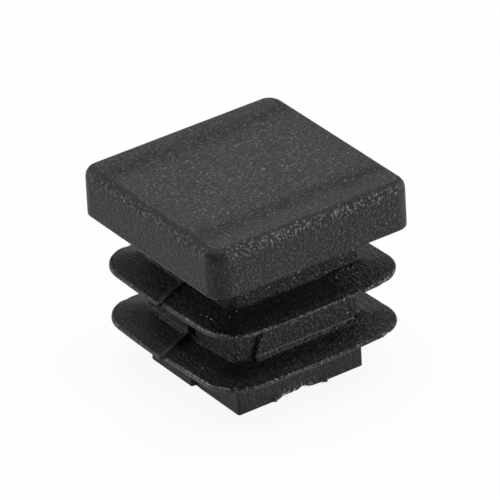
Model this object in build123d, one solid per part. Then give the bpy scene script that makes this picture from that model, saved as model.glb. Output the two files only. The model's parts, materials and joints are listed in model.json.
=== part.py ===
# End cap for a square steel tube, moulded in one piece of black polyethylene.
# The head stays outside, flush with the tube. The hollow stem goes in, and its two thin ribs bend
# against the tube's walls and hold it.
# The origin is the centre of the stem's open end, and +Z runs up the stem to the head's top face.
import os
from math import radians, tan

from build123d import *

# The tube that the cap closes
tube_side = 20.0  # outside width
tube_corner = 1.5  # outside radius of its corners
thinnest_wall = 1.0  # thinnest wall that the ribs still grip
thickest_wall = 2.5  # thickest wall that the stem still enters

# Head
head_height = 4.35
head_rounding = 0.9  # of the edge round the top face
head_draft = 0.3  # degrees that each side leans in towards the top
sink_depth = 0.12  # the top face has shrunk in this far at its middle
sink_width = 16.5  # across the sunk part of the top face

# Stem
stem_length = 14.1  # from the head's underside to the open end
bent_rib_room = 1.1  # left between the thickest wall and the stem for the bent ribs
stem_corner = 0.2
stem_wall = 1.65

# Hollow up the middle of the stem and into the head
skin = 2.2  # left between the hollow's end and the head's top face
hollow_corner = 1.0
hollow_draft = 1.0  # degrees that each wall leans in towards the closed end

# Ribs
rib_count = 2
first_rib_drop = 3.7  # from the head's underside to the first rib's root
rib_pitch = 5.09
rib_squeeze = 0.45  # that each side of a rib stands out past the thinnest wall's bore
rib_corner = 3.2
rib_root = 1.05  # thickness at the stem
rib_rim = 0.37  # thickness at the rim
rib_slope = 0.98  # that the rim's upper edge lies below the root's
rib_bite = 0.5  # that a rib's faces run on into the stem
rim_rounding = 0.28  # of the rim's upper edge

# Pad on each X side of the stem, from one rib to the next
pad_height = 0.5  # that it stands proud of the stem
pad_front_margin = 1.2  # from the stem's -Y corner, at the lower rib
pad_front_lean = 24.0  # degrees that the pad's -Y end leans back towards the head
pad_back_margin = 0.6  # from the stem's +Y corner

# Ribs and stem form between two slides of the mould, which meet at the plane X = 0 a little out of line.
plus_slide_shift = 0.3  # along Y, of all that the slide at +X forms
minus_slide_shift = -0.08  # along Y, of all that the slide at -X forms
relief_width = 0.62  # of the recess beside that plane, in the +X slide's Y faces
relief_depth = 0.45

# Scar where the gate was torn off the lower edge of the stem's +X side
gate_width = 3.9
gate_depth = 0.26
gate_reach = 0.7  # into the stem's wall
gate_middle = -0.3  # its place along Y

bore_side = tube_side - 2 * thinnest_wall
rib_side = bore_side + 2 * rib_squeeze
stem_side = tube_side - 2 * (thickest_wall + bent_rib_room)
hollow_side = stem_side - 2 * stem_wall
hollow_depth = stem_length + head_height - skin
cap_height = stem_length + head_height


def square(side, corner, height):
    return Pos(0, 0, height) * RectangleRounded(side, side, corner)


def circle_through(width, depth):
    """Radius of the circle on which a chord of this width is this deep."""
    return (width**2 / 4 + depth**2) / (2 * depth)


def make_head():
    head = extrude(square(tube_side, tube_corner, stem_length), head_height, taper=head_draft)
    top_face = head.faces().sort_by(Axis.Z)[-1]
    head = fillet(top_face.edges(), head_rounding)
    sink_radius = circle_through(sink_width, sink_depth)
    bowl = Sphere(sink_radius, rotation=(90, 0, 0))  # its poles lie along Y, away from the top face
    return head - Pos(0, 0, cap_height + sink_radius - sink_depth) * bowl


def make_rib(root_top):
    """A thin plate with a round-cornered rim, which slopes down and thins from the stem to the rim."""
    reach = (rib_side - stem_side) / 2
    rim_top = root_top - rib_slope
    rim_bottom = rim_top - rib_rim
    root_bottom = root_top - rib_root
    run_on = 1 + rib_bite / reach
    upper_edge = square(rib_side, rib_corner, rim_top)
    lower_edge = square(rib_side, rib_corner, rim_bottom)
    inner_side = stem_side - 2 * rib_bite
    inner_top = square(inner_side, stem_corner, rim_top + rib_slope * run_on)
    inner_bottom = square(inner_side, stem_corner, rim_bottom + (root_bottom - rim_bottom) * run_on)
    rib = loft([inner_top, upper_edge], ruled=True)
    rib += extrude(lower_edge, rib_rim)
    rib += loft([lower_edge, inner_bottom], ruled=True)
    upper_edges = rib.edges().filter_by_position(Axis.Z, rim_top, rim_top)
    return fillet(upper_edges, rim_rounding)


def make_pad(side, top, bottom):
    """A plate on the stem's X side, whose -Y end leans."""
    front = pad_front_margin - stem_side / 2
    back = stem_side / 2 - pad_back_margin
    level = Plane((side * (stem_side / 2 - rib_bite), 0, bottom), x_dir=(0, 1, 0), z_dir=(side, 0, 0))
    height = (top - bottom) * side
    lean = (top - bottom) * tan(radians(pad_front_lean))
    face = Polyline((front, 0), (back, 0), (back, height), (front + lean, height), close=True)
    return extrude(level * make_face(face), pad_height + rib_bite)


def make_relief(side):
    """The recess in the +X slide's Y face, beside the parting plane, from one end of the stem to the other."""
    place = Pos(relief_width / 2, side * stem_side / 2, stem_length / 2)
    return place * Box(relief_width, 2 * relief_depth, stem_length)


def make_insert():
    """The stem with its ribs and pads, before the hollow, as if both slides met in line."""
    insert = extrude(square(stem_side, stem_corner, 0), stem_length)
    for side in (-1, 1):
        insert -= make_relief(side)
    root_tops = [stem_length - first_rib_drop - i * rib_pitch for i in range(rib_count)]
    for root_top in root_tops:
        insert += make_rib(root_top)
    for upper_top, lower_top in zip(root_tops, root_tops[1:]):
        for side in (-1, 1):
            insert += make_pad(side, upper_top - rib_root / 2, lower_top - rib_root / 2)
    return insert


def shift_slides(insert):
    """Cut the insert at the parting plane and set each half where its slide was."""
    halves = []
    for side, shift in ((-1, minus_slide_shift), (1, plus_slide_shift)):
        slide = Pos(side * tube_side / 2, 0, stem_length / 2) * Box(tube_side, 2 * tube_side, stem_length)
        halves.append(Pos(0, shift, 0) * (insert & slide))
    return halves[0] + halves[1]


def make_gate_scar():
    radius = circle_through(gate_width, gate_depth)
    wall_face = stem_side / 2 + pad_height
    length = gate_reach + pad_height
    place = Pos(wall_face - length / 2, gate_middle, gate_depth - radius) * Rot(0, 90, 0)
    return place * Cylinder(radius, length)


cap = make_head() + shift_slides(make_insert())
cap -= extrude(square(hollow_side, hollow_corner, 0), hollow_depth, taper=hollow_draft)
cap -= make_gate_scar()

os.makedirs("parts", exist_ok=True)
export_step(cap, "parts/end_cap.step")
print("solids:", len(cap.solids()), "volume:", round(cap.volume, 1), "size:", cap.bounding_box().size)
print("rib side:", rib_side, "stem side:", stem_side, "hollow side:", hollow_side)
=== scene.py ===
# %% [markdown]
# # A moulded end cap for a square tube
# The cap is one piece of black polyethylene: a head that stays outside the tube, and a hollow stem with
# two thin ribs that goes inside. This lesson dresses the solid model with the skin that such a part
# really has. We load the solid first, because every size below is read from it or measured against it.

# %% Load the solid model
import json
import math

import bpy
import numpy as np
from mathutils import Matrix, Vector, noise


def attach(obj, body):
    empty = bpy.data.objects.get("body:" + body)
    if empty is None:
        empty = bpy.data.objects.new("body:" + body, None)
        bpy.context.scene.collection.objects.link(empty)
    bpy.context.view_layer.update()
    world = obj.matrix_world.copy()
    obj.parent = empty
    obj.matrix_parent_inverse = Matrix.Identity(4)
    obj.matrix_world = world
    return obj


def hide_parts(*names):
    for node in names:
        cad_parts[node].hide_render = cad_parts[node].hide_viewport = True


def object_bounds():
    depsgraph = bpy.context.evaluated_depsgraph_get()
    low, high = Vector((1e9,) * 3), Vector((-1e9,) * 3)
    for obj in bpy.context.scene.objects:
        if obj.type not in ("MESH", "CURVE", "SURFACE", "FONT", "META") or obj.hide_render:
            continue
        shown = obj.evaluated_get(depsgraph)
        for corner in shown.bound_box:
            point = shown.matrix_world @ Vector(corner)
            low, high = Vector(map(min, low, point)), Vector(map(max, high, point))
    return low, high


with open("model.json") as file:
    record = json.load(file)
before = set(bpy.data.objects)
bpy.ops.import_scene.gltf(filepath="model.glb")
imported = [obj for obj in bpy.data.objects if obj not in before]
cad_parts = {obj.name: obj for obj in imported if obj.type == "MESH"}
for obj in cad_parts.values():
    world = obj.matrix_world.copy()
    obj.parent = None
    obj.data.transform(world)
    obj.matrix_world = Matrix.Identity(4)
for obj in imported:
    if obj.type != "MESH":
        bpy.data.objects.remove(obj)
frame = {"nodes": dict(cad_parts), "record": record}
cad_low, cad_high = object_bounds()
MM = 0.001
print("solid model, mm:", [round(side / MM, 2) for side in cad_high - cad_low])

# %% [markdown]
# ## Measure the solid
# A dressed part has to keep the size of its solid, so we don't type the main sizes in again. The head's
# underside is the mount that rests on the tube. The stem and the rims of the ribs are found from the
# corners of the solid: below the seat, only the ribs reach out almost as far as the head. All sizes are
# in millimetres from here on.

# %% Read the main sizes from the solid
SAME = 0.01  # two places closer than this count as one
UNDER_SEAT = 0.5  # the ribs lie at least this far below the seat
RIB_GAP = 1.0  # and at least this far from each other
WALL = 1.0  # the hollow lies at least this far inside the stem and below the top

solid = frame["nodes"]["end_cap"]
corners = np.array([v.co for v in solid.data.vertices]) / MM
mounts = {mount["name"]: mount for mount in frame["record"]["mounts"]}
seat = mounts["tube_seat"]["pos_m"][2] / MM
top = cad_high.z / MM
head_half = cad_high.x / MM
stem_half = corners[corners[:, 2] < SAME, 0].max()
below = corners[corners[:, 2] < seat - UNDER_SEAT]
rib_half = below[:, 0].max()
rim_levels = np.sort(below[below[:, 0] > rib_half - SAME, 2])
steps_up = zip(rim_levels, rim_levels[1:])
rim_bottoms = [rim_levels[0]] + [high for low, high in steps_up if high - low > RIB_GAP]
rim_bottoms = sorted(rim_bottoms, reverse=True)
inside = corners[np.abs(corners[:, :2]).max(axis=1) < stem_half - WALL]
hollow_half = np.abs(inside[inside[:, 2] < SAME][:, :2]).max()
hollow_top = inside[inside[:, 2] < top - WALL][:, 2].max()
print("seat", round(seat, 2), "top", round(top, 2), "stem", round(stem_half, 3), "ribs", round(rib_half, 3))
print("rims at", np.round(rim_bottoms, 2), "hollow", round(hollow_half, 2), round(hollow_top, 2))

# %% [markdown]
# ## The outline of the cap
# Every level of the cap is a square with round corners, and only its size, its corner and its height
# change. So the whole skin follows one rule: walk along a half section, from the middle of the top face
# down the outside, round both ribs and up the hollow, and lay a rounded square at each step. These are
# the section's smaller sizes.

# %% Name the section's smaller sizes
HEAD, STEM, RIB, HOLLOW = range(4)
HEAD_CORNER = 1.5
HEAD_ROUNDING = 0.9  # of the edge round the top face
HEAD_LEAN = 0.02  # that each side leans in towards the top
STEM_CORNER = 0.2
WAIST_CORNER = 0.55  # of the stem between the ribs
RIB_CORNER = 3.2
HOLLOW_CORNER = 1.0
HOLLOW_LEAN = 0.28  # that each wall of the hollow leans in towards its closed end
RIB_SLOPE = 0.98  # that a rim's upper edge lies below its root's
ROOT_THICKNESS = 1.05
RIM_THICKNESS = 0.37
RIM_ROUNDING = 0.28
HEM_WIDTH = 0.06  # of the thin line of flash along the head's lower edge
HEM_DROP = 0.05

flat_half = head_half - HEAD_LEAN - HEAD_ROUNDING
rim_tops = [bottom + RIM_THICKNESS for bottom in rim_bottoms]
root_tops = [rim_top + RIB_SLOPE for rim_top in rim_tops]
waist_low = root_tops[1]
waist_high = root_tops[0] - ROOT_THICKNESS
print("top face flat to", round(flat_half, 2), "waist from", round(waist_low, 2), "to", round(waist_high, 2))

# %% [markdown]
# We write the half section as a short list of bends. Each bend says where it is, how round the square's
# corners are there, how softly the section turns, and how fine the steps to it are. The way to it also
# belongs to a zone of the cap, because the zones get different finishes later.

# %% List the bends
def half_section():
    """The bends as (half side, square's corner, height, softness of the turn, step, zone)."""
    bends = [
        (0.0, 0.0, top, 0.0, 0.4, HEAD),
        (flat_half, HEAD_CORNER - HEAD_ROUNDING - HEAD_LEAN, top, 0.0, 0.35, HEAD),
        (head_half - HEAD_LEAN, HEAD_CORNER, top, HEAD_ROUNDING, 0.13, HEAD),
        (head_half, HEAD_CORNER, seat + HEM_WIDTH, 0.0, 0.3, HEAD),
        (head_half, HEAD_CORNER, seat - HEM_DROP, 0.015, 0.3, HEAD),
        (head_half - HEM_WIDTH, HEAD_CORNER - HEM_WIDTH, seat, 0.0, 0.1, HEAD),
        (stem_half, STEM_CORNER, seat, 0.15, 0.6, STEM),
    ]
    for rib in range(2):
        above = (STEM_CORNER, WAIST_CORNER)[rib]
        under = (WAIST_CORNER, STEM_CORNER)[rib]
        bends += [
            (stem_half, above, root_tops[rib], 0.2, 0.25, STEM),
            (rib_half, RIB_CORNER, rim_tops[rib], RIM_ROUNDING, 0.2, RIB),
            (rib_half, RIB_CORNER, rim_bottoms[rib], 0.13, 0.12, RIB),
            (stem_half, under, root_tops[rib] - ROOT_THICKNESS, 0.2, 0.4, RIB),
        ]
    bends += [
        (stem_half, STEM_CORNER, 0.0, 0.08, 0.22, STEM),
        (hollow_half, HOLLOW_CORNER, 0.0, 0.15, 0.25, STEM),
        (hollow_half - HOLLOW_LEAN, HOLLOW_CORNER - HOLLOW_LEAN, hollow_top, 0.4, 0.9, HOLLOW),
        (0.0, 0.0, hollow_top, 0.0, 0.6, HOLLOW),
    ]
    return bends


print("bends:", len(half_section()))

# %% [markdown]
# ## Round the bends
# A moulded edge is never quite sharp, and its small radius is what catches the light. So each bend with
# a softness becomes an arc that touches both of its legs, and each leg is divided into steps. The
# corner of the square changes evenly along a leg.

# %% Divide the half section into rows
ARC_STEP = math.radians(22)


def leg_rows(start, end, step, zone):
    """Evenly spaced rows after start, up to end, each (half side, corner, height, zone)."""
    length = math.dist((start[0], start[2]), (end[0], end[2]))
    count = max(1, round(length / step))
    made = []
    for i in range(1, count + 1):
        part = i / count
        made.append(tuple(a + (b - a) * part for a, b in zip(start, end)) + (zone,))
    return made


def arc_rows(start, end, here, radius, turn, zone):
    """Rows along the arc from start to end that rounds the bend at here."""
    middle = (start + end) / 2
    away = middle - here
    centre = here + away * (radius / math.cos(turn / 2)) / math.hypot(away[0], away[2])
    first = math.atan2(start[2] - centre[2], start[0] - centre[0])
    cross = (start[0] - centre[0]) * (end[2] - centre[2]) - (start[2] - centre[2]) * (end[0] - centre[0])
    count = max(2, round(turn / ARC_STEP))
    made = []
    for k in range(1, count + 1):
        at = first + math.copysign(turn, cross) * k / count
        out = centre[0] + radius * math.cos(at)
        share = k / count
        if abs(end[0] - start[0]) > 1e-6:
            share = (out - start[0]) / (end[0] - start[0])
        corner = start[1] + (end[1] - start[1]) * share
        made.append((out, corner, centre[2] + radius * math.sin(at), zone))
    return made


def section_rows(bends):
    """All rows of the section, from its first bend to its last one."""
    made = [bends[0][:3] + (bends[0][5],)]
    last = bends[0][:3]
    for i in range(1, len(bends)):
        half, corner, height, softness, step, zone = bends[i]
        here = np.array((half, corner, height))
        if softness == 0 or i == len(bends) - 1:
            made += leg_rows(last, tuple(here), step, zone)
            last = tuple(here)
            continue
        back = np.array(bends[i - 1][:3]) - here
        on = np.array(bends[i + 1][:3]) - here
        back_length = math.hypot(back[0], back[2])
        on_length = math.hypot(on[0], on[2])
        turn = math.pi - math.acos((back[0] * on[0] + back[2] * on[2]) / (back_length * on_length))
        setback = softness * math.tan(turn / 2)
        start = here + back * (setback / back_length)
        end = here + on * (setback / on_length)
        made += leg_rows(last, tuple(start), step, zone)
        made += arc_rows(start, end, here, softness, turn, zone)
        last = tuple(end)
    return made


rows = section_rows(half_section())
print("rows:", len(rows))

# %% [markdown]
# ## A tree of nodes that lays the squares
# The skin follows a rule, so Geometry Nodes can build it. Python makes only the section's points. The
# tree lays a flat grid, with a row for each point and a column for each place round the square, and then
# moves every vertex to its place. A few small helpers keep the wiring readable.

# %% Helpers for wiring nodes
def add_node(tree, kind, inputs=None, **settings):
    """A new node. Each of its inputs is wired from a socket or gets a plain value."""
    made = tree.nodes.new(kind)
    for name, value in settings.items():
        setattr(made, name, value)
    for key, value in (inputs or {}).items():
        if isinstance(value, bpy.types.NodeSocket):
            tree.links.new(value, made.inputs[key])
        else:
            made.inputs[key].default_value = value
    return made


def output(tree, kind, inputs=None, **settings):
    """The first output of a new node."""
    return add_node(tree, kind, inputs, **settings).outputs[0]


def calc(tree, operation, *values):
    """The result of one sum on values or sockets."""
    return output(tree, "ShaderNodeMath", dict(enumerate(values)), operation=operation)


# %% [markdown]
# A tree's inputs have names, and the modifier that runs it knows them by an identifier, so we look one up
# from the other. The result is copied to a plain mesh, and the modifier goes away again.

# %% Helpers for making and running a tree
def new_tree(name, inputs):
    """A tree with a geometry in and out, and these named inputs as (name, socket type)."""
    tree = bpy.data.node_groups.new(name, "GeometryNodeTree")
    tree.interface.new_socket(name="Geometry", in_out="INPUT", socket_type="NodeSocketGeometry")
    tree.interface.new_socket(name="Geometry", in_out="OUTPUT", socket_type="NodeSocketGeometry")
    for label, kind in inputs:
        tree.interface.new_socket(name=label, in_out="INPUT", socket_type=kind)
    return tree, tree.nodes.new("NodeGroupInput"), tree.nodes.new("NodeGroupOutput")


def end_tree(tree, leave, geometry, material):
    """Make all instances real, set the material and send the result out."""
    real = output(tree, "GeometryNodeRealizeInstances", {"Geometry": geometry})
    painted = output(tree, "GeometryNodeSetMaterial", {"Geometry": real, "Material": material})
    tree.links.new(painted, leave.inputs["Geometry"])
    print(tree.name + ":", len(tree.nodes), "nodes")


def run_tree(source, tree, values):
    """The evaluated result of the tree on the object, as a new plain mesh."""
    modifier = source.modifiers.new(tree.name, "NODES")
    modifier.node_group = tree
    for item in tree.interface.items_tree:
        if item.item_type == "SOCKET" and item.in_out == "INPUT" and item.name in values:
            modifier[item.identifier] = values[item.name]
    graph = bpy.context.evaluated_depsgraph_get()
    graph.update()
    made = bpy.data.meshes.new_from_object(source.evaluated_get(graph), depsgraph=graph)
    source.modifiers.remove(modifier)
    return made


# %% [markdown]
# Inside the tree, the place round the square is a number from 0 to 4, one for each side. A fixed share
# of the columns goes to the corners, so that a column in a corner stays in that corner on every row. The
# sloping faces of the ribs then come out flat along the sides and conical at the corners. The tree also
# writes the row and the place round the square on each vertex, for the work by hand that follows.

# %% Build the tree
NUDGE = 1e-5  # lifts a rounded number over the whole number that it stands for
WELD = 1e-7  # metres between the vertices that close the skin


def section_at(tree, source, row):
    """The half side, corner and height on this row of the section's points."""
    wanted = {"Geometry": source, "Value": output(tree, "GeometryNodeInputPosition"), "Index": row}
    sample = output(tree, "GeometryNodeSampleIndex", wanted, data_type="FLOAT_VECTOR")
    return add_node(tree, "ShaderNodeSeparateXYZ", {"Vector": sample}).outputs


def spot_on_square(tree, half, corner, height, round_square, corner_share):
    """The spot that lies this far round a square with round corners."""
    side = calc(tree, "FLOOR", calc(tree, "ADD", round_square, NUDGE))
    share = calc(tree, "SUBTRACT", calc(tree, "SUBTRACT", round_square, side), 0.5)
    far = calc(tree, "ABSOLUTE", share)
    turn_start = calc(tree, "MULTIPLY_ADD", corner_share, -0.5, 0.5)
    straight = calc(tree, "SUBTRACT", half, corner)
    share_of_side = calc(tree, "MINIMUM", calc(tree, "DIVIDE", far, turn_start), 1.0)
    on_side = calc(tree, "MULTIPLY", straight, share_of_side)
    past = calc(tree, "MAXIMUM", calc(tree, "SUBTRACT", far, turn_start), 0.0)
    angle = calc(tree, "DIVIDE", calc(tree, "MULTIPLY", past, math.pi / 2), corner_share)
    out = calc(tree, "MULTIPLY_ADD", corner, calc(tree, "COSINE", angle), straight)
    reach = calc(tree, "MULTIPLY_ADD", corner, calc(tree, "SINE", angle), on_side)
    along = calc(tree, "MULTIPLY", reach, calc(tree, "SIGN", share))
    flat = output(tree, "ShaderNodeCombineXYZ", {"X": out, "Y": along, "Z": height})
    turn = {"Vector": flat, "Angle": calc(tree, "MULTIPLY", side, math.pi / 2)}
    return output(tree, "ShaderNodeVectorRotate", turn, rotation_type="Z_AXIS")


def skin_tree():
    sockets = [("Columns", "NodeSocketInt"), ("Corner share", "NodeSocketFloat"),
               ("Material", "NodeSocketMaterial")]
    tree, entry, leave = new_tree("rounded_squares", sockets)
    source = entry.outputs["Geometry"]
    points = output(tree, "GeometryNodeAttributeDomainSize", {"Geometry": source})
    columns = calc(tree, "ADD", entry.outputs["Columns"], 1)
    grid = output(tree, "GeometryNodeMeshGrid", {"Vertices X": points, "Vertices Y": columns})
    index = output(tree, "GeometryNodeInputIndex")
    row = calc(tree, "FLOOR", calc(tree, "DIVIDE", calc(tree, "ADD", index, 0.5), columns))
    column = calc(tree, "SUBTRACT", index, calc(tree, "MULTIPLY", row, columns))
    round_square = calc(tree, "MULTIPLY", calc(tree, "DIVIDE", column, entry.outputs["Columns"]), 4.0)

    spot = spot_on_square(tree, *section_at(tree, source, row), round_square, entry.outputs["Corner share"])
    marked = output(tree, "GeometryNodeSetPosition", {"Geometry": grid, "Position": spot})
    around = calc(tree, "FLOORED_MODULO", calc(tree, "ADD", round_square, NUDGE), 4.0)
    for label, value in (("row", row), ("around", around)):
        note = {"Geometry": marked, "Name": label, "Value": value}
        marked = output(tree, "GeometryNodeStoreNamedAttribute", note, data_type="FLOAT", domain="POINT")
    closed = output(tree, "GeometryNodeMergeByDistance", {"Geometry": marked, "Distance": WELD})
    end_tree(tree, leave, closed, entry.outputs["Material"])
    return tree


rounded_squares = skin_tree()

# %% [markdown]
# The tree runs on an object that has only the section's points. Its result is turned into a plain mesh,
# because what we do next is shaped by hand. The number of columns keeps the steps round the ribs near a
# sixth of a millimetre, which is fine enough for the small steps that the mould left.

# %% Run the tree
COLUMNS = 440
CORNER_COLUMNS = 30
corner_share = CORNER_COLUMNS / (COLUMNS / 4)


def mesh_of_points(name, points):
    made = bpy.data.meshes.new(name)
    made.from_pydata([tuple(c * MM for c in point) for point in points], [], [])
    return made


def link(thing):
    bpy.context.scene.collection.objects.link(thing)
    return thing


polymer = bpy.data.materials.new("black_polyethylene")
section = link(bpy.data.objects.new("section", mesh_of_points("section", [row[:3] for row in rows])))
settings = {"Columns": COLUMNS, "Corner share": corner_share, "Material": polymer}
skin = run_tree(section, rounded_squares, settings)
bpy.data.objects.remove(section)
print("skin:", len(skin.vertices), "vertices,", len(skin.polygons), "faces")

# %% [markdown]
# ## Know each vertex by its row and column
# With its row and its place round the square, a vertex knows what it belongs to, so a feature can be
# made by moving the vertices that carry it. The section's own sizes are looked up by row. A column
# crosses the stem and the ribs, so it is known by its place on the stem.

# %% Read the vertices
PLUS_X, PLUS_Y, MINUS_X, MINUS_Y = range(4)


def read_floats(mesh, name):
    values = np.empty(len(mesh.vertices))
    mesh.attributes[name].data.foreach_get("value", values)
    return values


place = np.empty(len(skin.vertices) * 3)
skin.vertices.foreach_get("co", place)
place = place.reshape(-1, 3) / MM
row_of = read_floats(skin, "row").round().astype(int)
around = read_floats(skin, "around") % 4
row_sizes = np.array(rows)
half_of, _, height_of, zone_of = row_sizes[row_of].T
column_of = (around / 4 * COLUMNS).round().astype(int) % COLUMNS
side_of = np.floor(around + NUDGE).astype(int) % 4
on_x_sides = (side_of == PLUS_X) | (side_of == MINUS_X)
from_middle = (around - np.floor(around + NUDGE) - 0.5) / (0.5 - corner_share / 2)
along_stem = np.clip(from_middle, -1, 1) * (stem_half - STEM_CORNER)
stem_y = np.where(side_of == PLUS_X, along_stem, -along_stem)
stem_x = np.where(side_of == MINUS_Y, along_stem, -along_stem)
print("vertices by zone:", [int((zone_of == zone).sum()) for zone in range(4)])

# %% [markdown]
# A few helpers come back all the time: changes between two limits, a hump, and a smooth noise that gives
# a surface its small unevenness and is the same on each run.

# %% Helpers for changes, humps and waves
def ramp(low, high, value):
    """0 up to low, 1 from high on, and an even change between the two."""
    return np.clip((value - low) / (high - low), 0, 1)


def ease(low, high, value):
    """The same with a soft start and end."""
    share = ramp(low, high, value)
    return share * share * (3 - 2 * share)


def hump(middle, width, value):
    """1 at the middle, falling off softly over about the width on both sides."""
    return np.exp(-((value - middle) / width) ** 2)


def waves(points, size, seed):
    """Smooth noise from -1 to 1 whose bumps are about this size, in millimetres."""
    offset = Vector((seed * 7.3, seed * 3.1, seed * 5.7))
    return np.array([noise.noise(Vector(point) / size + offset) for point in points])


def tell(what, mask):
    print(what + ":", int(mask.sum()), "vertices")


# %% [markdown]
# ## The sunk top face
# Thick plastic shrinks as it cools, so the top face sank a little inside a border. We lower it by the
# distance from the edge, with a soft shoulder, and let it undulate by a few hundredths of a millimetre.

# %% Sink the top face
SINK = 0.12
SINK_FROM = 0.5  # from the flat face's edge
SINK_TO = 3.4
UNEVEN = 0.02
UNEVEN_SIZE = 3.5
HAIR = 1e-3  # less than any real step

on_top = (zone_of == HEAD) & (height_of > top - HAIR)
from_edge = flat_half - half_of
uneven = waves(place[on_top], UNEVEN_SIZE, 1) * UNEVEN
place[on_top, 2] -= ease(SINK_FROM, SINK_TO, from_edge[on_top]) * (SINK - UNEVEN + uneven)
print("top face sunk by up to", round(top - place[on_top, 2].min(), 3))

# %% [markdown]
# ## Two slides of the mould
# Two slides formed the stem and the ribs and met at the plane X = 0. We draw the columns beside that
# plane close together, so that the steps there come out crisp.

# %% Draw the columns together at the parting plane
CLOSE_TO_PLANE = 0.5
CLOSER = 1.8  # power of the share of the way from the plane

insert = ((zone_of == STEM) | (zone_of == RIB)) & (height_of < seat + SAME)
near_plane = insert & ~on_x_sides & (np.abs(place[:, 0]) < CLOSE_TO_PLANE)
drawn = CLOSE_TO_PLANE * (np.abs(place[near_plane, 0]) / CLOSE_TO_PLANE) ** CLOSER
place[near_plane, 0] = np.copysign(drawn, place[near_plane, 0])
tell("drawn together", near_plane)

# %% [markdown]
# Beside the plane the +X slide left a recess in both Y faces of the stem, from one end of it to the
# other. It is wider between the ribs, and it fades towards the open end.

# %% Press in the recesses
RECESS_WIDTH = 0.6
WAIST_RECESS_WIDTH = 0.65
RECESS_DEPTH = 0.4
OPEN_END_DEPTH = 0.1  # share of the depth that is left at the open end
RECESS_FADE = 1.3  # height at which the full depth is reached
ROOT_MARGIN = 0.1

in_waist = (height_of > waist_low - ROOT_MARGIN) & (height_of < waist_high + ROOT_MARGIN)
on_walls = insert & (zone_of == STEM) & (half_of < stem_half + SAME)
end_share = ramp(hollow_half, stem_half, half_of)
width = np.where(in_waist, WAIST_RECESS_WIDTH, RECESS_WIDTH)
pressed = on_walls & ~on_x_sides & (stem_x > HAIR) & (stem_x < width)
deepening = OPEN_END_DEPTH + (1 - OPEN_END_DEPTH) * ease(0.0, RECESS_FADE, height_of)
depth = RECESS_DEPTH * end_share * deepening
place[pressed, 1] -= np.sign(place[pressed, 1]) * depth[pressed]
tell("recesses", pressed)

# %% [markdown]
# Between the ribs, the +X slide's half of the -Y face isn't quite upright: towards the lower rib it
# stands out a little, and its lower edge hangs lower, most of all near the parting plane.

# %% Lean the front half between the ribs
WAIST_LOWERED = 0.3
WAIST_BULGE = 0.15
LEAN_RISES = 0.7  # from the plane to the full lean
LEAN_FALLS = 0.3  # from here to the corner it falls again
LEAN_MARGIN = 0.4

reach_share = ramp(stem_half, rib_half, half_of)
up_waist = ramp(waist_low, waist_high, height_of)
by_waist = (height_of > rim_tops[1] - SAME) & (height_of < waist_high + ROOT_MARGIN)
leans = insert & by_waist & (side_of == MINUS_Y) & (stem_x > HAIR)
lean = ease(0.0, LEAN_RISES, stem_x) * (1 - ease(LEAN_FALLS, stem_half - LEAN_MARGIN, stem_x))
lean *= (1 - reach_share) * (1 - up_waist)
place[leans, 2] -= WAIST_LOWERED * lean[leans]
place[leans, 1] -= WAIST_BULGE * lean[leans]
tell("leaning half", leans)

# %% [markdown]
# ## Pads
# From one rib to the next, each X side of the stem carries a raised pad, and its -Y end leans back. The
# columns near that end are moved along until one of them follows the lean, and those behind it rise. The
# columns near the corners of the stem stay where they are.

# %% Move columns to the leaning end of the pads
PAD_FRONT_MARGIN = 1.2
PAD_BACK_MARGIN = 0.6
PAD_LEAN = 24  # degrees
FIXED_MARGIN = 0.4
PAD_ROOT_MARGIN = 0.3

pad_front = -stem_half + PAD_FRONT_MARGIN
pad_back = stem_half - PAD_BACK_MARGIN
fixed_end = -stem_half + FIXED_MARGIN
first_column = stem_y[on_x_sides & (stem_y < pad_front)].max()
lean_height = np.clip(height_of, waist_low, waist_high) - waist_low
pad_start = pad_front + lean_height * math.tan(math.radians(PAD_LEAN))
before = (stem_y - fixed_end) * (pad_start - fixed_end) / (first_column - fixed_end)
behind = (stem_y - pad_back) * (pad_start - pad_back) / (first_column - pad_back)
moved_y = np.where(stem_y <= first_column + HAIR, fixed_end + before, pad_back + behind)

pad_rows = (height_of > rim_tops[1]) & (height_of < rim_bottoms[0]) & (zone_of != HOLLOW)
pad_rows &= (height_of > waist_low - PAD_ROOT_MARGIN) | (zone_of == RIB)
pad_rows &= (height_of < waist_high + PAD_ROOT_MARGIN) | (zone_of == RIB)
moves = pad_rows & on_x_sides & (stem_y > fixed_end) & (stem_y < pad_back)
moves &= half_of < rib_half - PAD_ROOT_MARGIN
place[moves, 1] += ((moved_y - stem_y) * (1 - reach_share) ** 2)[moves]
tell("moved along", moves)

# %% Raise the pads
PAD = 0.5
UNDERSIDE_SLOPE = 0.098  # that a rib's underside rises for each millimetre from its rim
IN_ROOT = 0.05

raised = moves & (stem_y > first_column + HAIR)
rib_reach = rib_half - stem_half
falls = np.where(height_of < waist_low + IN_ROOT, RIB_SLOPE / rib_reach, -UNDERSIDE_SLOPE)
share = (1 - reach_share)[raised]
place[raised, 0] += np.sign(place[raised, 0]) * PAD * share
place[raised, 2] -= PAD * share * falls[raised] * (zone_of[raised] == RIB)
tell("pads", raised)

# %% [markdown]
# ## Halves out of line
# The two slides were a little out of line along Y, so all that the +X slide formed stands off from the
# rest. The core formed the hollow and the fixed half formed the head, and those two stayed in line.

# %% Shift the two halves
PLUS_SHIFT = 0.3
MINUS_SHIFT = -0.08

under_head = ramp(head_half, stem_half, half_of)
follows = np.where(height_of > seat - HAIR, under_head, end_share)
is_plus = place[:, 0] > -HAIR
place[insert, 1] += (np.where(is_plus, PLUS_SHIFT, MINUS_SHIFT) * follows)[insert]
print("step between the halves:", PLUS_SHIFT - MINUS_SHIFT)

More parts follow.
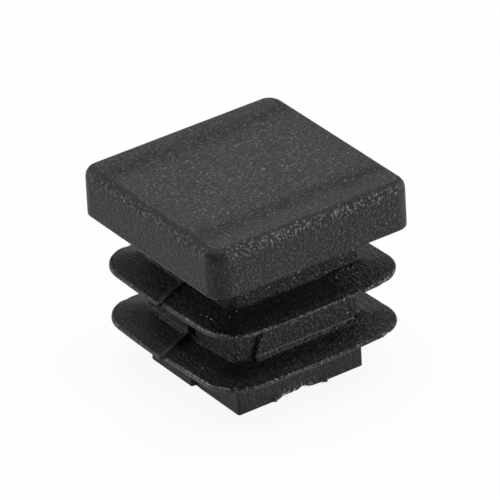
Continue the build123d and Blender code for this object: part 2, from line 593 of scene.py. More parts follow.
# %% [markdown]
# ## Thin ribs that have bent
# The ribs are thin and soft, and they never stay quite flat: they tilt a little, their corners lift, and
# their rims wander. The rims also carry small nicks from handling. Each rib is bent by its share of the
# way out from the stem, so that the root stays where it is. How far a column rises depends on where it
# meets the rim.

# %% Find where each column meets the rim
rim_row = int(np.argmax(row_sizes[:, 0] * (row_sizes[:, 2] < seat - 1)))
rim_spots = np.zeros((COLUMNS, 2))
rim_spots[column_of[row_of == rim_row]] = place[row_of == rim_row][:, :2] / rib_half
u, v = rim_spots[column_of].T
rib_of = np.where(height_of > (rim_bottoms[0] + root_tops[1]) / 2, 0, 1)
rim_bottom_of = np.array(rim_bottoms)[rib_of]
rim_top_of = np.array(rim_tops)[rib_of]
print("rim of the upper rib: row", rim_row, "of", len(rows))

# %% [markdown]
# Each rib has its own shape: how far its rim stands aside, how much it tilts along X and Y, how far its
# corners lift, how it twists and stretches, and where its nicks lie round the square.

# %% Bend and nick the ribs
rib_shapes = [
    {"aside": (0.06, 0.13), "tilt": (0.003, 0.113), "dish": 0.387, "twist": -0.108, "stretch": -0.007,
     "nicks": (0.89, 0.52, 1.52, 2.43, 2.86)},
    {"aside": (0.045, 0.034), "tilt": (-0.044, 0.141), "dish": 0.402, "twist": -0.11, "stretch": 0.025,
     "nicks": (0.91, 0.38, 1.58, 2.47, 2.88)},
]
NICK_DEPTH = 0.1
NICK_WIDTH = 0.02  # of a side
RISE_WAVES = {"size": 2.6, "seed": 2}
RISE = 0.04
RIM_WAVES = {"size": 0.9, "seed": 3}
WANDER = 0.02
BEND_POWER = 1.5
RIM_POWER = 4


def bent(rib, shape, of_rib):
    """The places of a rib's vertices after it has bent."""
    share, spots, ru, rv = reach_share[of_rib], place[of_rib], u[of_rib], v[of_rib]
    rise = shape["tilt"][0] * ru + shape["tilt"][1] * rv + shape["twist"] * ru * rv
    rise += shape["dish"] * (ru ** 2 + rv ** 2 - 1) + shape["stretch"] * (ru ** 2 - rv ** 2)
    rise += RISE * waves(np.c_[ru * rib_half, rv * rib_half, np.full(len(ru), 5.0 * rib)], **RISE_WAVES)
    inward = WANDER * waves(np.c_[ru * rib_half, rv * rib_half, np.full(len(ru), 3.0 * rib)], **RIM_WAVES)
    for nick in shape["nicks"]:
        away = np.abs((around[of_rib] - nick + 2) % 4 - 2)
        inward -= NICK_DEPTH * hump(0, NICK_WIDTH, away)
    spots[:, :2] *= (1 + inward / rib_half * share ** RIM_POWER)[:, None]
    spots[:, :2] += np.array(shape["aside"]) * share[:, None]
    spots[:, 2] += rise * share ** BEND_POWER
    return spots


for rib, shape in enumerate(rib_shapes):
    of_rib = (zone_of == RIB) & (rib_of == rib)
    place[of_rib] = bent(rib, shape, of_rib)
print("rims reach", round(np.abs(place[zone_of == RIB][:, :2]).max(), 2), "mm from the middle")

# %% [markdown]
# ## Flash where the slides met
# A little melt was pressed into the joint between the slides. It left a thin fin across the top of each
# rib, on both Y sides, which is lower near the rim.

# %% Raise the flash
FLASH = 0.12
FLASH_WIDTH = 0.4  # on each side of the plane
FLASH_LOSS = 0.6  # share of its height that is gone at the rim

on_rib = zone_of == RIB
on_rib_top = on_rib & (height_of > rim_top_of - SAME)
at_plane = on_rib_top & ~on_x_sides & (np.abs(stem_x) < FLASH_WIDTH)
fin = FLASH * (1 - ease(0.0, FLASH_WIDTH, np.abs(stem_x))) * (1 - FLASH_LOSS * ease(0.6, 1.0, reach_share))
place[at_plane, 2] += fin[at_plane]
tell("flash", at_plane)

# %% [markdown]
# The slides didn't close fully on the rims either, so these came out thicker. They are thickest on the +X
# half of the -Y side, and most of all midway along it on the upper rib.

# %% Thicken the rims
RIM_MIDDLE = 0.12  # above a rim's lower edge
PLUS_THICKER = 0.12
PLUS_LESS = 0.09  # that the +X half gains less away from its -Y side
MINUS_THICKER = 0.05
SWELL = (0.1, 0.02)  # of the upper and the lower rib
SWELL_END = 6.6

rim_middle = rim_bottom_of + RIM_MIDDLE
under_rim = on_rib & (height_of < rim_middle)
swell = np.sin(ramp(0, SWELL_END, place[:, 0]) * math.pi) * np.array(SWELL)[rib_of]
plus_thicker = PLUS_THICKER - PLUS_LESS * ease(-8.5, -6.0, place[:, 1])
thicker = np.where(is_plus, plus_thicker, MINUS_THICKER) + np.where(side_of == MINUS_Y, swell, 0)
place[under_rim, 2] -= (thicker * ease(0.55, 1.0, reach_share))[under_rim]
print("rims thicker by up to", round(thicker[under_rim].max(), 2))

# %% [markdown]
# The slides were also more worn at two corners of the stem on the -Y side: the -X slide at the open end,
# and the +X slide below the head. The corners there came out rounder. All that stands outside the wider
# round is drawn back to it.

# %% Round the worn corners
LOW_WORN = 0.8
NECK_WORN = 0.9


def round_off(level, side, shift, radius):
    """Draw the stem's -Y corner on this X side back to a wider round, on these vertices only."""
    centre = np.array((side * (stem_half - radius), shift - stem_half + radius))
    outward = (place[:, :2] - centre) * (side, -1)
    chosen = level & (outward > 0).all(axis=1)
    distance = np.linalg.norm(outward[chosen], axis=1)
    kept = np.minimum(1, radius / distance)
    place[chosen, :2] = centre + (place[chosen, :2] - centre) * kept[:, None]
    tell("worn corner", chosen)


low_stem = (zone_of == STEM) & (height_of < rim_bottoms[1]) & (half_of > stem_half - 0.3)
neck = (height_of > root_tops[0] - 0.15) & (height_of < seat + HAIR) & (half_of < stem_half + 0.2)
round_off(low_stem, -1, MINUS_SHIFT, LOW_WORN)
round_off(neck & (zone_of != HOLLOW), 1, PLUS_SHIFT, NECK_WORN)

# %% [markdown]
# ## The torn gate
# The melt came in through a gate at the lower edge of the +X side, and the part was torn off it. That
# left a ragged bite in the edge, which deepens towards its middle, and two burrs that stand out near its
# ends. The rows near the edge are squeezed up over the bite, and noise makes the tear rough.

# %% Bite into the edge at the gate
BITE_AT = (-2.8, -2.0, -1.4, -0.6, 0.5, 0.8, 1.1, 1.9, 3.3)
BITE_DEPTH = (0.0, 0.02, 0.21, 0.23, 0.37, 0.3, 0.12, 0.02, 0.0)
BITE_REACH = 0.8  # from the wall's outer face inwards
BITE_FADE = 0.5
BITE_RAGGED = 0.6  # share of its depth
SQUEEZED = 0.9  # height of the rows that make room for it

near_gate = (side_of == PLUS_X) & (zone_of == STEM) & (height_of < SQUEEZED)
near_gate &= (place[:, 1] > BITE_AT[0]) & (place[:, 1] < BITE_AT[-1])
spots = place[near_gate]
bite_end = stem_half - BITE_REACH
through_wall = ramp(bite_end, bite_end + BITE_FADE, half_of[near_gate])
bite = np.interp(spots[:, 1], BITE_AT, BITE_DEPTH)
bite += BITE_RAGGED * bite * waves(spots * (1, 1, 0), 0.3, 4)
bite = np.maximum(bite, 0.0) * through_wall
left_over = 1 - spots[:, 2] / SQUEEZED
place[near_gate, 2] += bite * left_over
print("bite at the gate:", round(bite.max(), 2), "mm deep")

# %% [markdown]
# The tear and its burrs stand out from the wall's face, most of all at the very edge.

# %% Roughen the tear and raise its burrs
TEAR = 0.06
TEAR_SIZE = 0.2
BURRS = ({"at": -2.35, "out": 0.22, "spread": 0.16}, {"at": 2.75, "out": 0.32, "spread": 0.2})

rough = TEAR * waves(spots, TEAR_SIZE, 6) * ease(0.0, 0.1, bite)
for burr in BURRS:
    peak = hump(burr["at"], burr["spread"], spots[:, 1])
    rough += burr["out"] * peak * ease(0.6, 0.95, left_over)
place[near_gate, 0] += rough * left_over * through_wall
print("roughest spot:", round(np.abs(rough).max(), 2), "mm out")

# %% [markdown]
# ## Tell the material where it is
# The part has one material, but its finish changes from place to place. The skin knows what each vertex
# belongs to, so it tells the shader through attributes. The first ones say where the plastic is satin,
# and how strong the fine wrinkles of the ribs are.

# %% Write where the plastic is satin
RIB_LEATHER = 0.6
LOBE_LEATHER = 1.1  # more on the ribs' corner at +X, +Y


def write_floats(mesh, name, values):
    layer = mesh.attributes.get(name) or mesh.attributes.new(name, "FLOAT", "POINT")
    layer.data.foreach_set("value", values.astype(np.float32))


right_lobe = on_rib * ease(2.0, 5.0, place[:, 1]) * ease(-2.0, 2.0, place[:, 0])
write_floats(skin, "satin", on_rib * 1.0)
write_floats(skin, "leather", on_rib * RIB_LEATHER + right_lobe * LOBE_LEATHER)
write_floats(skin, "reach", np.where(on_rib, reach_share, 0.0))
tell("satin", on_rib)

# %% [markdown]
# The spark-eroded grain is stronger on some faces than on others, and the same strength sets the painted
# glints on it. It is turned down at the head's upright corners and beside the parting plane between the
# ribs, as painted shade, and it shows on the ribs' rims, the +X face and the ribs' corner at +X, +Y, where
# its glints are painted highlights.

# %% Write how strong the grain and its painted glints are
ZONE_GRAIN = (1.0, 1.4, 0.5, 0.3)  # head, stem, ribs, hollow
LOW_STEM_GRAIN = 0.7
RIGHT_FACE_GRAIN = 1.15
CORNER_PAINTED_SHADE = 0.6
RIM_GRAIN = 0.6
UPPER_RIM_GRAIN = 1.1
LOBE_GRAIN = 0.8
RIM_FROM = 0.955  # of the way out from the stem

in_corner = ease(0.95, 1.15, np.abs(from_middle))
on_head_side = (zone_of == HEAD) & ~on_top
front_waist_shade = on_walls & in_waist & (side_of == MINUS_Y)
on_rim = on_rib & (reach_share > RIM_FROM)
upper_rim = on_rim & (height_of > rim_middle)

grain_and_glint = np.choose(zone_of.astype(int), ZONE_GRAIN)
grain_and_glint[(zone_of == STEM) & (height_of < rim_bottoms[1])] = LOW_STEM_GRAIN
grain_and_glint[on_head_side & (side_of == PLUS_X)] = RIGHT_FACE_GRAIN
# Painted shade: the glints are turned down towards the head's upright corners.
grain_and_glint[on_head_side] *= 1 - CORNER_PAINTED_SHADE * in_corner[on_head_side]
# Painted shade: on the -Y face between the ribs the glints are turned down, most of all just past the
# parting plane.
grain_and_glint[front_waist_shade] *= np.where(stem_x > HAIR, 0.2 + 0.6 * ease(0.8, 4.5, stem_x), 0.6)[front_waist_shade]
grain_and_glint[on_rim] = RIM_GRAIN
grain_and_glint[upper_rim] = UPPER_RIM_GRAIN
write_floats(skin, "grain_and_glint", grain_and_glint + LOBE_GRAIN * right_lobe)
print("grain from", grain_and_glint.min(), "to", grain_and_glint.max())

# %% [markdown]
# Along the edges that stand out, the grain's glints are made stronger as painted highlights. On the head
# that is a band along the rounded edge, with a painted shade line inside it, and the +X face gets more of
# it. On the rims it is the upper edge, and on the front side most of all near the corner at +X.

# %% Write where highlights are painted on the edges
PAINTED_GLINT_RIGHT = 1.4  # times as strong on the +X face
PAINTED_SHADE_LINE = {"at": 0.28, "width": 0.14, "strength": 1.2}  # out from the flat top
RIM_PAINTED_GLINT = 1.3
FRONT_PAINTED_GLINT = 1.2
FRONT_PAINTED_SHINE = 2.0
RIM_LINE = 0.25  # above a rim's lower edge

past_flat = half_of - flat_half
# Painted highlight band on the head's rounded edge, less a painted shade line inside it.
edge_glint = ease(0.4, 0.62, past_flat) * (1 - ease(0.7, 1.2, top - height_of))
edge_glint -= hump(PAINTED_SHADE_LINE["at"], PAINTED_SHADE_LINE["width"], past_flat) * PAINTED_SHADE_LINE["strength"]
painted_glint = edge_glint * (1 - in_corner) * (zone_of == HEAD) * (height_of > seat + 1)
# The +X face gets stronger painted glints.
painted_glint[side_of == PLUS_X] *= PAINTED_GLINT_RIGHT
shining = ease(2.0, 6.0, place[:, 0]) * (1 - ease(8.0, 9.0, place[:, 0]))
front_rim = upper_rim & (side_of == MINUS_Y) & (height_of > rim_bottom_of + RIM_LINE)
# Painted highlights along the rims' upper edges, strongest on the front side towards +X.
painted_glint[upper_rim & (side_of == PLUS_X)] = RIM_PAINTED_GLINT
painted_glint[front_rim] = (FRONT_PAINTED_GLINT + FRONT_PAINTED_SHINE * shining)[front_rim]
write_floats(skin, "painted_glint", painted_glint)
tell("painted_glint", painted_glint > 0)

# %% [markdown]
# The pale attribute holds painted light and shade. Painted highlights lie on the rims on the front side, on
# the lower edges of the head and of the stem between the ribs, and on the crest of the flash. The shaded
# recess between the ribs gets painted light, and the head's side faces other than +X are painted a little
# lighter. The sunk top face is painted a little lighter too, between two bands of painted shade that run
# along Y.

# %% Write where light and shade are painted
PAINTED_SHADE_BANDS = {"middle": -0.3, "apart": 6.7, "width": 1.1, "strength": 1.3}
SIDE_PAINTED_LIGHT = 0.2
RIM_PAINTED_HIGHLIGHT = 1.5
RIM_SHINE_PAINTED_HIGHLIGHT = 7.0
HEM_PAINTED_HIGHLIGHT = 10.0
WAIST_EDGE_PAINTED_HIGHLIGHT = 7.0
RECESS_PAINTED_LIGHT = 2.0
CREST_PAINTED_HIGHLIGHT = 14.0
CREST_FOOT_PAINTED_HIGHLIGHT = 5.0

# Painted light on the top face, less two bands of painted shade, and on the head's side faces except +X and
# the corners.
painted_shade_bands = hump(PAINTED_SHADE_BANDS["apart"], PAINTED_SHADE_BANDS["width"], np.abs(place[:, 0] - PAINTED_SHADE_BANDS["middle"]))
painted_light_sides = on_head_side * (1 - in_corner) * (side_of != PLUS_X)
pale = on_top * (1 - PAINTED_SHADE_BANDS["strength"] * painted_shade_bands) + painted_light_sides * SIDE_PAINTED_LIGHT
# Painted highlight on the front rims, brightest towards +X.
pale[front_rim] = (RIM_PAINTED_HIGHLIGHT + RIM_SHINE_PAINTED_HIGHLIGHT * shining)[front_rim]
# Painted highlight along the head's lower edge on the -Y side.
hem_highlight = on_head_side & (height_of < seat + 0.03) & (half_of > head_half - 0.1)
pale[hem_highlight & (side_of == MINUS_Y)] = HEM_PAINTED_HIGHLIGHT
# Painted highlight along the lower edge of the pads and of the -Y face between the ribs.
waist_edge_highlight = (np.abs(height_of - waist_low - 0.065) < 0.04) & (reach_share < 0.05) & (zone_of != HOLLOW)
pale[waist_edge_highlight & (raised | (side_of == MINUS_Y) & (stem_x < -0.1))] = WAIST_EDGE_PAINTED_HIGHLIGHT
# Painted light in the shaded recess between the ribs.
pale[pressed & in_waist] = RECESS_PAINTED_LIGHT
# Painted highlight on the crest of the flash.
crest_highlight = on_rib_top & ~on_x_sides & (stem_x > -0.27) & (stem_x < 0.15)
pale[crest_highlight] = np.where(stem_x > -0.15, CREST_PAINTED_HIGHLIGHT, CREST_FOOT_PAINTED_HIGHLIGHT)[crest_highlight]
write_floats(skin, "pale", pale)
print("palest:", round(pale.max(), 1))

# %% [markdown]
# At the gate the plastic was stretched until it tore, and turned white.

# %% Write where the plastic is torn
torn = np.zeros(len(place))
torn[near_gate] = ease(0.0, 0.12, bite) * (1 - ease(0.3, 1.0, height_of[near_gate]))
write_floats(skin, "torn", torn)
tell("torn", torn > 0)

# %% [markdown]
# ## Close the skin and put it in the scene
# The moved vertices go back in the mesh. Every edge with a real turn stays crisp, and the rest is smooth.
# The skin takes the place of the solid, which is hidden, gets the polymer material, and rides on the only
# body.

# %% Make the skin piece
CRISP_TURN = 38  # degrees


def make_piece(name, mesh, material, sharp_degrees):
    mesh.name = name
    mesh.materials.clear()
    mesh.materials.append(material)
    mesh.polygons.foreach_set("material_index", [0] * len(mesh.polygons))
    mesh.shade_smooth()
    mesh.set_sharp_from_angle(angle=math.radians(sharp_degrees))
    piece = link(bpy.data.objects.new(name, mesh))
    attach(piece, "root")
    return piece


skin.vertices.foreach_set("co", (place * MM).ravel().astype(np.float32))
cap = make_piece("end_cap_skin", skin, polymer, CRISP_TURN)
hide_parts("end_cap")
print("cap spans", [round(side / MM, 2) for side in cap.dimensions])

# %% [markdown]
# ## Threads and grains
# Under the head's front edge, where the slides met, a thread of flash hangs down. The torn gate left a few
# short threads of stretched plastic, which turned white. Grains of dust lie on the ribs. All of these
# repeat a small form, so a tree scatters them: it puts the form on every point, and turns and sizes it
# at random from a fixed seed. There are two forms, a thread that curls and a pebble, with a tree each.

# %% The two forms
def curl(tree, size):
    """A thin cone that stands on its wide end and curls over towards +X."""
    tip = calc(tree, "MULTIPLY", size, 0.02)
    foot = calc(tree, "MULTIPLY", size, 0.08)
    sizes = {"Radius Top": tip, "Radius Bottom": foot, "Depth": size}
    cone = output(tree, "GeometryNodeMeshCone", {"Vertices": 6, "Side Segments": 6, **sizes})
    spot = output(tree, "GeometryNodeInputPosition")
    height = add_node(tree, "ShaderNodeSeparateXYZ", {"Vector": spot}).outputs["Z"]
    bend = calc(tree, "DIVIDE", calc(tree, "MULTIPLY", height, height), size)
    offset = output(tree, "ShaderNodeCombineXYZ", {"X": bend})
    return output(tree, "GeometryNodeSetPosition", {"Geometry": cone, "Offset": offset})


def pebble(tree, size):
    return output(tree, "GeometryNodeMeshIcoSphere", {"Radius": size, "Subdivisions": 2})


# %% [markdown]
# A tree's inputs say how large the form is, and between which limits it is turned and scaled. So one
# tree serves for all the threads, and the other for all the grains.

# %% The scattering tree
LIMITS = ("Least turn", "Most turn", "Least scale", "Most scale")


def scatter_tree(name, form):
    sockets = [("Size", "NodeSocketFloat")] + [(label, "NodeSocketVector") for label in LIMITS]
    sockets += [("Seed", "NodeSocketInt"), ("Material", "NodeSocketMaterial")]
    tree, entry, leave = new_tree(name, sockets)
    given = entry.outputs
    placing = {"Points": given["Geometry"], "Instance": form(tree, given["Size"])}
    other_seed = calc(tree, "ADD", given["Seed"], 1)
    for key, what, seed in (("Rotation", "turn", given["Seed"]), ("Scale", "scale", other_seed)):
        limits = {"Min": given["Least " + what], "Max": given["Most " + what], "Seed": seed}
        placing[key] = output(tree, "FunctionNodeRandomValue", limits, data_type="FLOAT_VECTOR")
    placed = output(tree, "GeometryNodeInstanceOnPoints", placing)
    end_tree(tree, leave, placed, given["Material"])
    return tree


threads = scatter_tree("scattered_threads", curl)
grains = scatter_tree("scattered_grains", pebble)

# %% [markdown]
# The result of a scattering is a piece like the skin. A thread at the gate could hang below the open end
# of the stem, where the cap would no longer fit its box, so it is pressed flat at that level.

# %% Helpers for scattering
LOOSE_TURN = 60  # degrees of a turn that stays crisp
OPEN_END = 0.0  # level of the stem's open end


def keep_above_open_end(mesh):
    """Press whatever hangs below the stem's open end flat against its level."""
    spots = np.empty(len(mesh.vertices) * 3)
    mesh.vertices.foreach_get("co", spots)
    spots[2::3] = np.maximum(spots[2::3], OPEN_END)
    mesh.vertices.foreach_set("co", spots)


def scatter(name, tree, points, material, **values):
    """A piece made of forms on these points in millimetres. The form's size is in metres."""
    points_object = link(bpy.data.objects.new(name + "_points", mesh_of_points(name + "_points", points)))
    made = run_tree(points_object, tree, {**values, "Material": material})
    bpy.data.objects.remove(points_object)
    keep_above_open_end(made)
    print(name + ":", len(points), "places,", len(made.polygons), "faces")
    return make_piece(name, made, material, LOOSE_TURN)


def plain_material(name, base, roughness):
    made = bpy.data.materials.new(name)
    made.use_nodes = True
    shader = made.node_tree.nodes["Principled BSDF"]
    shader.inputs["Base Color"].default_value = (*base, 1)
    shader.inputs["Roughness"].default_value = roughness
    return made


# %% [markdown]
# The places of the larger grains are listed and dropped on the nearest spot of a rib's upper face. The
# smaller ones fall at random.

# %% Scatter the grains of dust
UPPER_PALE = ((5.21, -7.85), (6.48, -5.95), (5.87, -7.95), (4.59, -8.16), (7.38, 3.76))
LOWER_PALE = ((-3.61, -6.5), (-1.09, -6.5), (-0.51, -6.5), (1.28, -6.5))
UPPER_OCHRE = ((6.88, -6.74),)
LOWER_OCHRE = ((-2.48, -6.5), (4.4, -8.2))
SMALL_GRAINS = 70


def dropped(rib, spots):
    """The nearest places on the rib's upper face to these (x, y) spots."""
    face = place[on_rib_top & (rib_of == rib)]
    return [tuple(face[np.argmin(np.hypot(face[:, 0] - x, face[:, 1] - y))]) for x, y in spots]


dice = np.random.default_rng(7)
pale_dust = plain_material("pale_dust", (0.62, 0.6, 0.55), 0.9)
ochre_dust = plain_material("ochre_dust", (0.6, 0.36, 0.17), 0.9)
rib_spots = place[on_rib_top]
fallen = [tuple(spot) for spot in rib_spots[dice.choice(len(rib_spots), SMALL_GRAINS, replace=False)]]
kinds = (  # name, places, material, radius in metres, seed
    ("pale", dropped(0, UPPER_PALE) + dropped(1, LOWER_PALE), pale_dust, 7e-5, 3),
    ("small", fallen, pale_dust, 3e-5, 5),
    ("ochre", dropped(0, UPPER_OCHRE) + dropped(1, LOWER_OCHRE), ochre_dust, 8e-5, 9),
)
any_turn = {"Least turn": (0, 0, 0), "Most turn": (6.28, 6.28, 6.28)}
flattened = {"Least scale": (0.6, 0.6, 0.5), "Most scale": (1.3, 1.2, 0.9)}
for kind, points, dust, radius, seed in kinds:
    scatter("grains_" + kind, grains, points, dust, Size=radius, Seed=seed, **any_turn, **flattened)

# %% [markdown]
# The thread of flash hangs from one point under the head's edge. It is greyer than the cap, because the
# plastic was drawn thin.

# %% Hang the thread of flash
HANGS_AT = (-0.15, -9.93, seat)

drawn_plastic = plain_material("drawn_flash", (0.28, 0.27, 0.25), 0.7)
hanging = {"Least turn": (3.1, 0.0, 0.1), "Most turn": (3.14, 0.1, 0.2)}
slender = {"Least scale": (0.4, 0.8, 1), "Most scale": (0.4, 0.8, 1)}
scatter("flash_thread", threads, [HANGS_AT], drawn_plastic, Size=7e-4, Seed=1, **hanging, **slender)

# %% [markdown]
# The threads at the gate grow from two stretches of the torn edge. Each starts a little above the spot
# that it is drawn from, most of them close to it.

# %% Fray the torn gate
FRAYED = ((-2.5, -1.1), (0.4, 2.9))  # along Y
GATE_THREADS = 60
SUNK = 0.01
ASIDE_MOST = 0.1
LOWEST = 0.03
HIGHER_MOST = 0.35

gate_edge = near_gate & (height_of < 0.12) & (half_of > stem_half - 0.05)
in_stretch = [(place[:, 1] > start) & (place[:, 1] < end) for start, end in FRAYED]
edge_spots = place[gate_edge & np.any(in_stretch, axis=0)]
torn_spots = []
for x, y, z in edge_spots[dice.choice(len(edge_spots), GATE_THREADS)]:
    aside = ASIDE_MOST * dice.random()
    higher = HIGHER_MOST * dice.random() ** 2
    torn_spots.append((x - SUNK, y + aside, z + LOWEST + higher))
whitened = plain_material("whitened_polyethylene", (0.6, 0.53, 0.46), 0.7)
lying = {"Least turn": (-1.5, 0.7, -0.9), "Most turn": (1.5, 1.5, 0.9)}
varied = {"Least scale": (0.6, 0.8, 0.3), "Most scale": (1.2, 2.2, 1.1)}
scatter("gate_threads", threads, torn_spots, whitened, Size=2.2e-4, Seed=4, **lying, **varied)

# %% [markdown]
# ## Black polyethylene
# The part is one black plastic with two finishes. The mould's head was spark-eroded, which gives a fine
# frosted grain, and the ribs came from polished steel. Soot-black plastic reflects little by itself, so
# what we see is mostly the gloss on the grain. Everything is noise on the object's own coordinates, in
# metres, so a scale of 4800 makes a grain of about a fifth of a millimetre.

# %% Helpers for the polymer's nodes
def written(tree, name):
    return add_node(tree, "ShaderNodeAttribute", attribute_name=name).outputs["Fac"]


def texture(tree, scale, detail, roughness):
    spot = add_node(tree, "ShaderNodeTexCoord").outputs["Object"]
    inputs = {"Vector": spot, "Scale": scale, "Detail": detail, "Roughness": roughness}
    return output(tree, "ShaderNodeTexNoise", inputs)


def between(tree, value, low, high, at_low, at_high):
    """The value, brought from the span low to high to the span at_low to at_high."""
    inputs = {"Value": value, "From Min": low, "From Max": high, "To Min": at_low, "To Max": at_high}
    return output(tree, "ShaderNodeMapRange", inputs)


# %% [markdown]
# The colour is soot black with faint clouds, with painted light and shade where the skin says so, and
# painted shade over the ribs. Painted glints sit on the crests of the grain, a little dust sits in it as
# light specks, and the torn spots are white.

# %% The polymer's colour
PAINTED_LIGHT_STEP = 0.014  # for each step of the attribute
RIB_PAINTED_SHADE = 0.4
PAINTED_GLINT_GAIN = 1.3
RED = 1.02  # times the grey value, for a slightly warm black
BLUE = 0.99


def polymer_colour(tree):
    clouds = texture(tree, 260.0, 3.0, 0.55)
    dots = texture(tree, 5200.0, 1.0, 0.3)
    speckle = texture(tree, 3900.0, 2.0, 0.7)
    shade = between(tree, clouds, 0.3, 0.7, 0.009, 0.014)
    # Painted light and shade, as the skin's pale attribute gives it.
    shade = calc(tree, "MULTIPLY_ADD", written(tree, "pale"), PAINTED_LIGHT_STEP, shade)
    # Painted shade over the ribs.
    rib_shade = calc(tree, "MULTIPLY_ADD", written(tree, "satin"), -RIB_PAINTED_SHADE, 1.0)
    shade = calc(tree, "MULTIPLY", shade, rib_shade)

    # Painted glints on the grain's crests, made stronger where the skin paints highlights on edges.
    glint_gain = calc(tree, "MULTIPLY_ADD", written(tree, "painted_glint"), PAINTED_GLINT_GAIN, 1.0)
    glint_gain = calc(tree, "MAXIMUM", glint_gain, 0.0)
    glints = calc(tree, "MULTIPLY", between(tree, speckle, 0.5, 0.72, 0.0, 0.065), glint_gain)
    glints_and_dust = calc(tree, "ADD", glints, between(tree, dots, 0.69, 0.78, 0.0, 0.2))
    white = calc(tree, "MULTIPLY", written(tree, "torn"), between(tree, speckle, 0.5, 0.68, 0.0, 0.35))
    value = calc(tree, "ADD", shade, calc(tree, "MULTIPLY", glints_and_dust, written(tree, "grain_and_glint")))
    value = calc(tree, "ADD", value, white)
    channels = {"Red": calc(tree, "MULTIPLY", value, RED), "Green": value,
                "Blue": calc(tree, "MULTIPLY", value, BLUE)}
    return output(tree, "ShaderNodeCombineColor", channels)


# %% [markdown]
# The frosted head is duller than the satin ribs, and the ribs shine most at their rims. The bump carries
# only the grain and the fine wrinkles on the ribs. All that is larger is in the mesh.

# %% The polymer's gloss and relief
COARSE = {"scale": 1900.0, "detail": 2.0, "roughness": 0.5}
FROSTED = 0.42
POLISHED = 0.36
ROUGHNESS_SPREAD = 0.16
RIM_POLISH = 0.2
COARSE_SHARE = 0.8
BUMP_DISTANCE = 0.00015  # metres


def polymer_roughness(tree):
    spread = calc(tree, "MULTIPLY", texture(tree, **COARSE), ROUGHNESS_SPREAD)
    frosted = calc(tree, "ADD", FROSTED, spread)
    polished = calc(tree, "ADD", POLISHED, spread)
    shine = between(tree, written(tree, "reach"), 0.92, 1.0, 0.0, RIM_POLISH)
    polished = calc(tree, "SUBTRACT", polished, shine)
    finishes = {"Factor": written(tree, "satin"), "A": frosted, "B": polished}
    return output(tree, "ShaderNodeMix", finishes)


def polymer_relief(tree):
    fine = texture(tree, 4800.0, 2.0, 0.6)
    relief = calc(tree, "ADD", fine, calc(tree, "MULTIPLY", texture(tree, **COARSE), COARSE_SHARE))
    leather = calc(tree, "MULTIPLY", texture(tree, 2600.0, 3.0, 0.6), written(tree, "leather"))
    height = calc(tree, "MULTIPLY_ADD", relief, written(tree, "grain_and_glint"), leather)
    bump = {"Height": height, "Distance": BUMP_DISTANCE, "Strength": 1.0}
    return output(tree, "ShaderNodeBump", bump)


# %% Dress the polymer
SPECULAR = 0.25

polymer.use_nodes = True
paint = polymer.node_tree
shader = paint.nodes["Principled BSDF"]
shader.inputs["Specular IOR Level"].default_value = SPECULAR
paint.links.new(polymer_colour(paint), shader.inputs["Base Color"])
paint.links.new(polymer_roughness(paint), shader.inputs["Roughness"])
paint.links.new(polymer_relief(paint), shader.inputs["Normal"])
print("nodes in the polymer:", len(paint.nodes))

# %% [markdown]
# ## Camera
# The viewpoint was worked out from the head's edges: a long lens, half a metre away, turned a few degrees
# about its own axis. The camera faces straight back along these angles and stands a little to one side,
# because the cap isn't quite in the middle of the picture.

# %% Place the camera
AZIMUTH, ELEVATION, ROLL = (math.radians(angle) for angle in (56.3576, 30.1256, -3.1226))
DISTANCE = 525.6015
ASIDE = (0.2886, -2.7466)
PIXELS_PER_MM = 11.97704
FRAME_PIXELS = 500
SENSOR = 36  # mm


def direction(azimuth, elevation):
    """The unit vector from the cap towards these angles, with azimuth 0 at -Y and 90 degrees at +X."""
    flat = math.cos(elevation)
    return Vector((math.sin(azimuth) * flat, -math.cos(azimuth) * flat, math.sin(elevation)))


back = direction(AZIMUTH, ELEVATION)
level = Vector((math.cos(AZIMUTH), math.sin(AZIMUTH), 0))
upward = back.cross(level)
right = level * math.cos(ROLL) + upward * math.sin(ROLL)
up = upward * math.cos(ROLL) - level * math.sin(ROLL)
eye = (back * DISTANCE + right * ASIDE[0] + up * ASIDE[1] + Vector((0, 0, seat))) * MM

camera = link(bpy.data.objects.new("camera", bpy.data.cameras.new("camera")))
camera.data.sensor_width = SENSOR
camera.data.lens = PIXELS_PER_MM * DISTANCE / FRAME_PIXELS * SENSOR
camera.data.clip_start = 0.01
camera.data.clip_end = 10
camera.matrix_world = Matrix.Translation(eye) @ Matrix((right, up, back)).transposed().to_4x4()
bpy.context.scene.camera = camera
print("lens", round(camera.data.lens, 1), "mm")

# %% [markdown]
# ## Floor and background
# The cap stands on a white floor that runs out to the horizon. What the camera sees of it directly is
# mostly plain white, and so is what glossy plastic reflects, while the rest stays an ordinary pale floor
# that keeps the cap's shadow. The floor lies a hair below the cap, so that the two never share a level.

# %% Lay the floor
FLOOR_HALF = 3.0  # metres
FLOOR_LEVEL = -1e-5  # metres
FLOOR_SHADE = 0.8
PLAIN_WHITE = 0.92
MIRRORED_WHITE = 0.66


def grey(shade):
    return (shade, shade, shade, 1)


def plain_white_nodes(material):
    material.use_nodes = True
    tree = material.node_tree
    tree.nodes.clear()
    path = add_node(tree, "ShaderNodeLightPath")
    mirrored = calc(tree, "MAXIMUM", path.outputs["Is Glossy Ray"], path.outputs["Is Transmission Ray"])
    direct = calc(tree, "MULTIPLY", path.outputs["Is Camera Ray"], PLAIN_WHITE)
    seen = calc(tree, "MAXIMUM", direct, calc(tree, "MULTIPLY", mirrored, MIRRORED_WHITE))
    matt = output(tree, "ShaderNodeBsdfDiffuse", {"Color": grey(FLOOR_SHADE)})
    white = output(tree, "ShaderNodeEmission", {"Color": grey(1.0), "Strength": 1.0})
    mixed = output(tree, "ShaderNodeMixShader", {"Fac": seen, 1: matt, 2: white})
    add_node(tree, "ShaderNodeOutputMaterial", {"Surface": mixed})


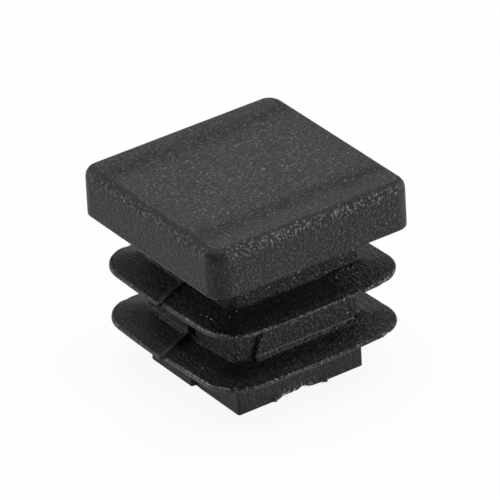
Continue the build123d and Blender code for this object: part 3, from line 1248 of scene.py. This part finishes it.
floor_mesh = bpy.data.meshes.new("floor")
turns = ((-1, -1), (1, -1), (1, 1), (-1, 1))
floor_corners = [(x * FLOOR_HALF, y * FLOOR_HALF, FLOOR_LEVEL) for x, y in turns]
floor_mesh.from_pydata(floor_corners, [], [(0, 1, 2, 3)])
floor_paint = bpy.data.materials.new("pale_floor")
plain_white_nodes(floor_paint)
floor_mesh.materials.append(floor_paint)
floor = link(bpy.data.objects.new("floor", floor_mesh))
print("floor", 2 * FLOOR_HALF, "m square")

# %% [markdown]
# ## Soft studio light
# Two softboxes stand low at the left and the right, so that they graze the head's side faces and draw
# bright lines along the ribs' rims. One further round to the right and one behind light the faces that
# turn away. A large one hangs above and lights the top face. The room itself is dim.

# %% Hang the lamps
ROOM = 0.02
AIM_HEIGHT = 0.01  # metres


def softbox(name, azimuth, elevation, distance, width, height, power):
    """A soft lamp that faces the cap from these angles in degrees, with its sizes in metres."""
    away = direction(math.radians(azimuth), math.radians(elevation))
    lamp = bpy.data.lights.new(name, "AREA")
    lamp.shape = "RECTANGLE"
    lamp.size = width
    lamp.size_y = height
    lamp.energy = power
    holder = link(bpy.data.objects.new(name, lamp))
    holder.rotation_mode = "QUATERNION"
    holder.rotation_quaternion = away.to_track_quat("Z", "Y")
    holder.location = away * distance + Vector((0, 0, AIM_HEIGHT))


softbox("left", -56, 16, 0.6, 0.5, 0.3, 1.3)
softbox("right", 124, 12, 0.6, 0.5, 0.3, 1.8)
softbox("far right", 170, 20, 0.8, 0.4, 0.4, 2.4)
softbox("behind", 236, 35, 0.9, 0.6, 0.4, 1.7)
softbox("above", 0, 88, 0.9, 0.6, 0.6, 6.5)

world = bpy.data.worlds.new("room")
bpy.context.scene.world = world
world.use_nodes = True
room = world.node_tree.nodes["Background"]
room.inputs["Color"].default_value = grey(1.0)
room.inputs["Strength"].default_value = ROOM
bpy.context.scene.view_settings.view_transform = "Standard"

# %% [markdown]
# ## The solid's box
# The dressed cap has to fill the same box as its solid. The solid's bounds are printed here.

# %% Print the solid's bounds
print("solid ", [round(side / MM, 3) for side in (*cad_low, *cad_high)])
